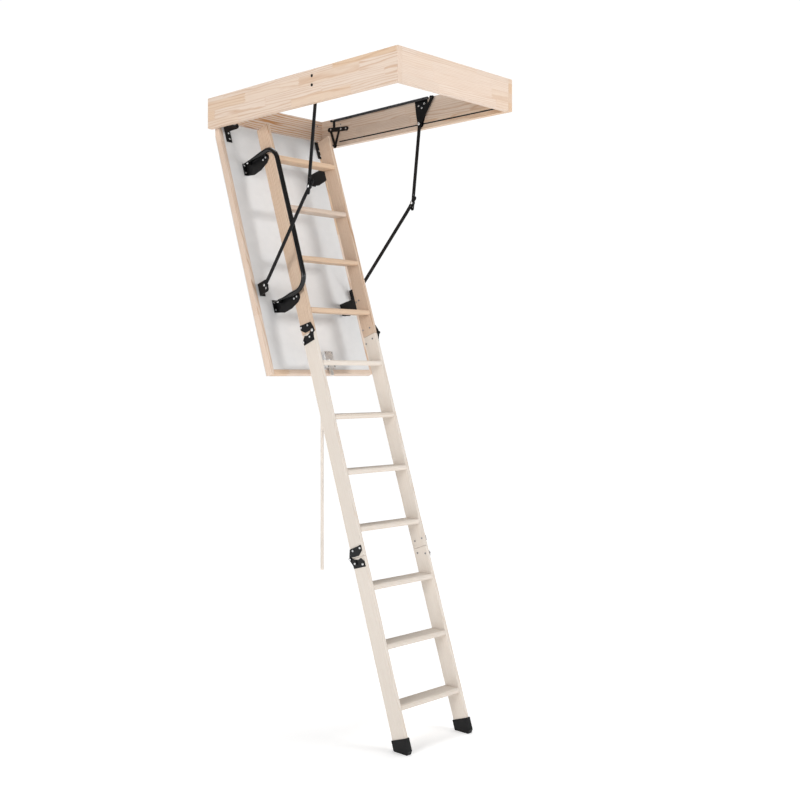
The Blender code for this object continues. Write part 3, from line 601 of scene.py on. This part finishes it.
# -------------------------------------------------------------------- handrail
RAIL_X, RAIL_R = -0.2165, 0.0105
FLAT_HALF, FLAT_WIDE = 0.0042, 0.0125
FLAT_FROM, FLAT_RUN = 0.070, 0.045     # where the tube turns flat
BOLT_OFF = 0.153                       # the rail's bolts, on the hatch brackets
RAIL_BOLTS = (0.1092, 0.7852)
BOSS_R, BOSS_LONG, BOSS_OUT = 0.008, 0.0160, 0.0038
path = [(0.170, 0.1085), (0.150, 0.1092), (0.120, 0.1103), (0.092, 0.1113),
        (0.065, 0.1124), (0.040, 0.1134)]
path += arc((0.026, 0.181), 0.067, 88, 178, 16)
path += [(-0.0415, 0.250), (-0.0420, 0.380), (-0.0425, 0.500), (-0.0420, 0.640)]
path += arc((0.024, 0.723), 0.0655, 182, 272, 16)
path += [(0.045, 0.7878), (0.070, 0.7872), (0.096, 0.7866), (0.122, 0.7860),
         (0.150, 0.7853), (0.170, 0.7850)]


def rail_section(i):
    """The tube is pressed flat where it is bolted."""
    share = min(max((path[i][0] - FLAT_FROM) / FLAT_RUN, 0.0), 1.0)
    share = share * share * (3 - 2 * share)
    wide = RAIL_R + (FLAT_WIDE - RAIL_R) * share
    thin = RAIL_R + (FLAT_HALF - RAIL_R) * share
    return wide, thin


bm = bmesh.new()
tube(bm, [on_ladder(RAIL_X, off, s) for off, s in path], RAIL_R, 24, rail_section)
for s in RAIL_BOLTS:
    turned(bm, [(BOSS_R, 0.0), (BOSS_R, BOSS_LONG)],
           on_ladder(-LX - BOSS_OUT, BOLT_OFF, s), Vector((-1, 0, 0)))
handrail = add_object("handrail_tube", bm, RAIL_BLACK, 35)
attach(handrail, "hatch")
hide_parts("handrail")

# --------------------------------------------------------------------- springs
COIL_R, WIRE_R, PITCH = 0.0054, 0.0011, 0.0027
STEPS_PER_TURN = 10
SPRING_X = 0.3100
HOOK = 0.022                           # from the peg to the first turn
EYE_R = 0.0045
LEVER_BACK, LEVER_UP = -0.078, 0.109   # lever peg from the arm's pivot
PEG_HALF, ANCHOR_DROP = 0.0064, 0.007


def spring(side, sign):
    """A close-wound tension spring with a hook at each end."""
    arm = JOINTS["upper_arm_" + side]
    pivot = Vector(arm["pos_m"])
    lever = pivot + Vector((sign * SPRING_X, LEVER_BACK, LEVER_UP))
    rear_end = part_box("spring_" + side)[1].y
    anchor = Vector((sign * SPRING_X, rear_end - PEG_HALF, lever.z - ANCHOR_DROP))
    run = (anchor - lever).normalized()
    side_dir, up = basis(run)
    length = (anchor - lever).length
    turns = int((length - 2 * HOOK) / PITCH)
    points = []
    for k in range(STEPS_PER_TURN * turns + 1):
        angle = 2 * math.pi * k / STEPS_PER_TURN
        travel = HOOK + (length - 2 * HOOK) * k / (STEPS_PER_TURN * turns)
        points.append(lever + run * travel
                      + (side_dir * math.cos(angle) + up * math.sin(angle)) * COIL_R)

    def hook(at, into):
        """Wire from the coil's rim round the peg."""
        ring = []
        for k in range(15):
            angle = math.radians(200 - 20 * k)
            ring.append(at + into * EYE_R * math.cos(angle)
                        + up * EYE_R * math.sin(angle))
        return ring + [at + into * 0.009 + up * 0.001, at + into * 0.016,
                       at + into * (HOOK - 0.003) + side_dir * COIL_R * 0.6]

    points = hook(lever, run) + points
    points += list(reversed(hook(anchor, -run)))
    bm = bmesh.new()
    tube(bm, points, WIRE_R, 7)
    made = add_object("spring_coil_" + side, bm, SPRING_STEEL, 60)
    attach(made, "box")
    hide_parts("spring_" + side)
    swing = Matrix.Rotation(-math.radians(arm["range_deg"][1]), 4, "X")
    moved = pivot + swing @ (lever - pivot)
    moved.x = lever.x
    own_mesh(made)


for side, sign in SIDES:
    spring(side, sign)

# ------------------------------------------------------------------- fasteners


def fasteners(name, body, places, make, material):
    """One piece of several like fasteners on one body."""
    bm = bmesh.new()
    for at, axis, size in places:
        make(bm, at, axis, size)
    made = add_object(name, bm, material, 40)
    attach(made, body)
    return made


def box_point(x, y, z):
    """A point on the box, y from its front face and z from its underside."""
    return Vector((x, y + BOX_LOW.y, z + BOX_LOW.z))


HINGE = Vector(JOINTS["hatch_hinge"]["pos_m"])
ARM = Vector(JOINTS["upper_arm_right"]["pos_m"])
KNEE = Vector(JOINTS["lower_arm_right"]["pos_m"])
FOOT = box_point(0.0, 0.872, -0.725)            # arm pin at the hatch
FOOT_S = -(CA * (FOOT.y - ORIGIN.y) + SA * (FOOT.z - ORIGIN.z))

# (y, z) on the box
HINGE_BASE_SCREWS = ((1.106, 0.0868), (1.034, 0.0811), (0.999, 0.0783))
ARM_PLATE_SCREWS = ((0.516, 0.106), (0.482, 0.112), (0.497, 0.094))
THROUGH_BOLTS = ((0.4895, 0.110), (0.4895, 0.072))
# along the hatch
LEAF_SCREWS = (-0.022, -0.050, -0.078)
ARM_BRACKET_BOLTS = (FOOT_S - 0.012, FOOT_S + 0.016)
CARRIERS = (0.131, 0.801)                       # middles of the ladder brackets
CARRIER_SCREWS = [mid + ds for mid in CARRIERS for ds in (-0.024, 0.010)]
CARRIER_BOLTS = [(0.068, mid + 0.003) for mid in CARRIERS]
CARRIER_BOLTS += [(0.049, mid) for mid in CARRIERS]
# section hinge bolts: off from the knuckle's edge, s from the knuckle
ABOVE_KNUCKLE = ((0.066, -0.034), (0.022, -0.031))
BELOW_KNUCKLE = ((0.066, 0.033), (0.021, 0.022))
# where the heads sit: out from the stringers, in from the side boards
PLAIN_OUT, CARRIER_OUT, STACKED_OUT = 0.0052, 0.0058, 0.0088
HINGE_HEAD_OUT = 0.0096
HINGE_BASE_IN, ARM_PLATE_IN = 0.0055, 0.0052
# x of pin ends, the inner and the outer one where both show
HINGE_PIN_X, ARM_PIN_X = 0.2740, 0.3095
KNEE_ENDS, FOOT_ENDS = (0.3056, 0.3205), (0.2712, 0.2895)
# screws in the flanges: these turn to +X on both sides, the carriers' mirror
LEAF_X, LEAF_FLANGE = 0.2795, 0.017
BRACKET_X, BRACKET_FLANGE = 0.2790, 0.0185
CARRIER_FLANGE = 0.0135
LEAF_PROUD, BRACKET_PROUD, CARRIER_PROUD = 0.0045, 0.0055, 0.0048
# radii of the heads
BOX_SCREW_R, FRAME_SCREW_R, LOCK_SCREW_R = 0.0046, 0.0036, 0.0032
LEAF_SCREW_R, BRACKET_SCREW_R, CARRIER_SCREW_R = 0.0046, 0.0050, 0.0048
HINGE_PIN_R, ARM_PIN_R, KNUCKLE_R = 0.0070, 0.0075, 0.0066
RIVET_INNER_R, RIVET_OUTER_R = 0.0068, 0.0060
THROUGH_R, BOLT_R, NUT_R, RAIL_BOLT_R = 0.0062, 0.0050, 0.0044, 0.0072


def at_x(x, point):
    return Vector((x, point.y, point.z))


def box_fasteners(side, sign, inward, outward):
    """Screws, pivots and bolts that stay with the box."""
    screws = [(box_point(sign * (INNER_X - HINGE_BASE_IN), y, z), inward, BOX_SCREW_R)
              for y, z in HINGE_BASE_SCREWS]
    screws += [(box_point(sign * (INNER_X - ARM_PLATE_IN), y, z), inward, BOX_SCREW_R)
               for y, z in ARM_PLATE_SCREWS]
    fasteners("box_screws_" + side, "box", screws, cross_screw, ZINC)
    pins = [(at_x(sign * HINGE_PIN_X, HINGE), inward, HINGE_PIN_R),
            (at_x(sign * ARM_PIN_X, ARM), inward, ARM_PIN_R)]
    fasteners("box_pivots_" + side, "box", pins, rivet, ZINC)
    through = [(box_point(sign * OUTER_X, y, z), outward, THROUGH_R)
               for y, z in THROUGH_BOLTS]
    fasteners("through_bolts_" + side, "box", through, dome_bolt, BLACK)


def arm_rivets(side, sign, inward, outward):
    """Rivet heads on both faces of the knee and the foot."""
    for label, body, point, (inner, outer) in (
            ("knee", "upper_arm_", KNEE, KNEE_ENDS),
            ("foot", "lower_arm_", FOOT, FOOT_ENDS)):
        fasteners("%s_rivet_%s" % (label, side), body + side,
                  [(at_x(sign * inner, point), inward, RIVET_INNER_R),
                   (at_x(sign * outer, point), outward, RIVET_OUTER_R)],
                  rivet, ZINC)


def hatch_screws(side, sign):
    """Screws through the flanges that lie on the hatch."""
    groups = (
        (sign * LEAF_X + LEAF_FLANGE, LEAF_PROUD, LEAF_SCREW_R, LEAF_SCREWS),
        (sign * BRACKET_X + BRACKET_FLANGE, BRACKET_PROUD, BRACKET_SCREW_R,
         ARM_BRACKET_BOLTS),
        (sign * (LX + CARRIER_FLANGE), CARRIER_PROUD, CARRIER_SCREW_R,
         CARRIER_SCREWS))
    flat = [(on_ladder(x, PLATE_FACE - proud, s), FROM_HATCH, radius)
            for x, proud, radius, places in groups for s in places]
    fasteners("hatch_screws_" + side, "hatch", flat, cross_screw, ZINC)


def stringer_bolts(side, sign, inward, outward):
    """Bolts through the stringers: heads outside, nuts inside."""
    upper, lower = UPPER_KNUCKLE, LOWER_KNUCKLE
    groups = (
        ("carrier", "hatch", CARRIER_OUT, CARRIER_BOLTS),
        ("upper_top", "hatch", PLAIN_OUT,
         [(off, upper + ds) for off, ds in ABOVE_KNUCKLE]),
        ("upper_bottom", "middle_section", STACKED_OUT,
         [(off, upper + ds) for off, ds in BELOW_KNUCKLE]),
        ("lower_top", "middle_section", PLAIN_OUT,
         [(STILE_DEPTH - off, lower + ds) for off, ds in ABOVE_KNUCKLE]),
        ("lower_bottom", "lower_section", STACKED_OUT,
         [(STILE_DEPTH - off, lower + ds) for off, ds in BELOW_KNUCKLE]))
    for label, body, out, places in groups:
        heads = [(on_ladder(sign * (LX + out), off, s), outward, BOLT_R)
                 for off, s in places]
        fasteners("%s_bolts_%s" % (label, side), body, heads, dome_bolt, ZINC)
        nuts = [(on_ladder(sign * (LX - STILE_THICK), off, s), inward, NUT_R)
                for off, s in places]
        fasteners("%s_nuts_%s" % (label, side), body, nuts, nut, DARK_ZINC)
    for label, body, s, off in (
            ("upper", "hatch", upper, -KNUCKLE_OUT),
            ("lower", "middle_section", lower, STILE_DEPTH + KNUCKLE_OUT)):
        head = on_ladder(sign * (LX + HINGE_HEAD_OUT), off, s)
        fasteners("%s_knuckle_%s" % (label, side), body,
                  [(head, outward, KNUCKLE_R)], rivet, ZINC)


for side, sign in SIDES:
    to_middle, to_outside = Vector((-sign, 0, 0)), Vector((sign, 0, 0))
    box_fasteners(side, sign, to_middle, to_outside)
    arm_rivets(side, sign, to_middle, to_outside)
    hatch_screws(side, sign)
    stringer_bolts(side, sign, to_middle, to_outside)

fasteners("rail_bolts", "hatch",
          [(on_ladder(RAIL_X - FLAT_HALF, BOLT_OFF, s), Vector((-1, 0, 0)),
            RAIL_BOLT_R) for s in RAIL_BOLTS], dome_bolt, ZINC)
# (x, y, z) on the box, and the way the head faces
CORNER_SCREWS = ((-0.2963, 1.1760, 0.111, (0, -1, 0)),
                 (0.2963, 1.1760, 0.111, (0, -1, 0)),
                 (INNER_X, 1.0405, 0.105, (-1, 0, 0)),
                 (-INNER_X, 1.0405, 0.105, (1, 0, 0)))
fasteners("frame_screws", "box",
          [(box_point(x, y, z), Vector(way), FRAME_SCREW_R)
           for x, y, z, way in CORNER_SCREWS], cross_screw, DARK_ZINC)

# -------------------------------------------------------------- lock, small bits
LOCK_X, LOCK_LOW, LOCK_HIGH = 0.036, 1.007, 1.087
LOCK_DEPTH = 0.018
LOCK_FACE = PLATE_FACE - LOCK_DEPTH
KEYHOLE_S = 1.045
CORNER_X, CORNER_S = 0.020, 0.008               # screws: from the middle, the ends
fasteners("lock_screws", "hatch",
          [(on_ladder(LOCK_X + dx, LOCK_FACE, s), FROM_HATCH, LOCK_SCREW_R)
           for dx in (-CORNER_X, CORNER_X)
           for s in (LOCK_LOW + CORNER_S, LOCK_HIGH - CORNER_S)],
          cross_screw, DARK_ZINC)
bm = bmesh.new()
turned(bm, [(0.0085, 0.0), (0.0085, 0.0010), (0.0070, 0.0016), (0.0045, 0.0016),
            (0.0042, 0.0004)],
       on_ladder(LOCK_X, LOCK_FACE, KEYHOLE_S), FROM_HATCH, 28)
escutcheon = add_object("lock_escutcheon", bm, ZINC, 40)
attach(escutcheon, "hatch")

# ------------------------------------------------------- floor, light and camera
FLOOR_SIZE = 60.0
bm = bmesh.new()
corners = ((-1, -1), (1, -1), (1, 1), (-1, 1))
bm.faces.new([bm.verts.new((FLOOR_SIZE * x, FLOOR_SIZE * y, 0.0))
              for x, y in corners])
floor_material, g, shader = new_material("studio_floor")
shader.inputs["Base Color"].default_value = (0.80, 0.80, 0.80, 1.0)
shader.inputs["Roughness"].default_value = 0.85
shader.inputs["Specular IOR Level"].default_value = 0.1
shader.inputs["Emission Color"].default_value = (1.0, 1.0, 1.0, 1.0)
# the floor fades to white away from the object
spot = g.node("ShaderNodeTexCoord").outputs["Object"]
reach = g.node("ShaderNodeVectorMath", {0: spot}, operation="LENGTH").outputs["Value"]
glow = g.node("ShaderNodeMapRange", {"Value": reach, "From Min": 2.0,
                                     "From Max": 8.0, "To Min": 0.42,
                                     "To Max": 0.85}).outputs[0]
g.feed(shader.inputs["Emission Strength"], glow)
floor = add_object("studio_floor", bm, floor_material)


def area_light(name, at, target, size, power):
    light = bpy.data.lights.new(name, "AREA")
    light.shape = "RECTANGLE"
    light.size, light.size_y = size
    light.energy = power
    holder = bpy.data.objects.new(name, light)
    holder.location = at
    aim = Vector(target) - Vector(at)
    holder.rotation_euler = aim.to_track_quat("-Z", "Y").to_euler()
    bpy.context.scene.collection.objects.link(holder)


MIDDLE = (0.0, 0.0, 1.7)
area_light("key", (2.2, -6.0, 2.9), MIDDLE, (2.4, 1.6), 168.0)
area_light("side", (-6.5, -1.5, 2.8), MIDDLE, (2.4, 1.6), 185.0)
area_light("top", (1.2, 1.6, 7.0), MIDDLE, (3.0, 3.0), 215.0)

world = bpy.data.worlds.new("studio")
bpy.context.scene.world = world
world.use_nodes = True
g = Graph(world.node_tree)
sky = world.node_tree.nodes["Background"]
sky.inputs["Color"].default_value = (1.0, 1.0, 1.0, 1.0)
# the backdrop is white, brighter than the light that it gives
SKY_LIGHT, SKY_SEEN_EXTRA = 0.25, 0.78
seen = g.node("ShaderNodeLightPath").outputs["Is Camera Ray"]
g.feed(sky.inputs["Strength"], g.math("MULTIPLY_ADD", seen, SKY_SEEN_EXTRA, SKY_LIGHT))
bpy.context.scene.view_settings.view_transform = "Standard"

CAMERA_AT = (-3.387, -3.535, 1.514)
CAMERA_YAW = 46.1
camera = bpy.data.cameras.new("camera")
camera.sensor_width = 36.0
camera.lens = 50.04
camera.shift_y = -0.03345
camera.clip_end = 200.0
eye = bpy.data.objects.new("camera", camera)
eye.location = CAMERA_AT
eye.rotation_euler = Euler((math.pi / 2, 0.0, -math.radians(CAMERA_YAW)))
bpy.context.scene.collection.objects.link(eye)
bpy.context.scene.camera = eye
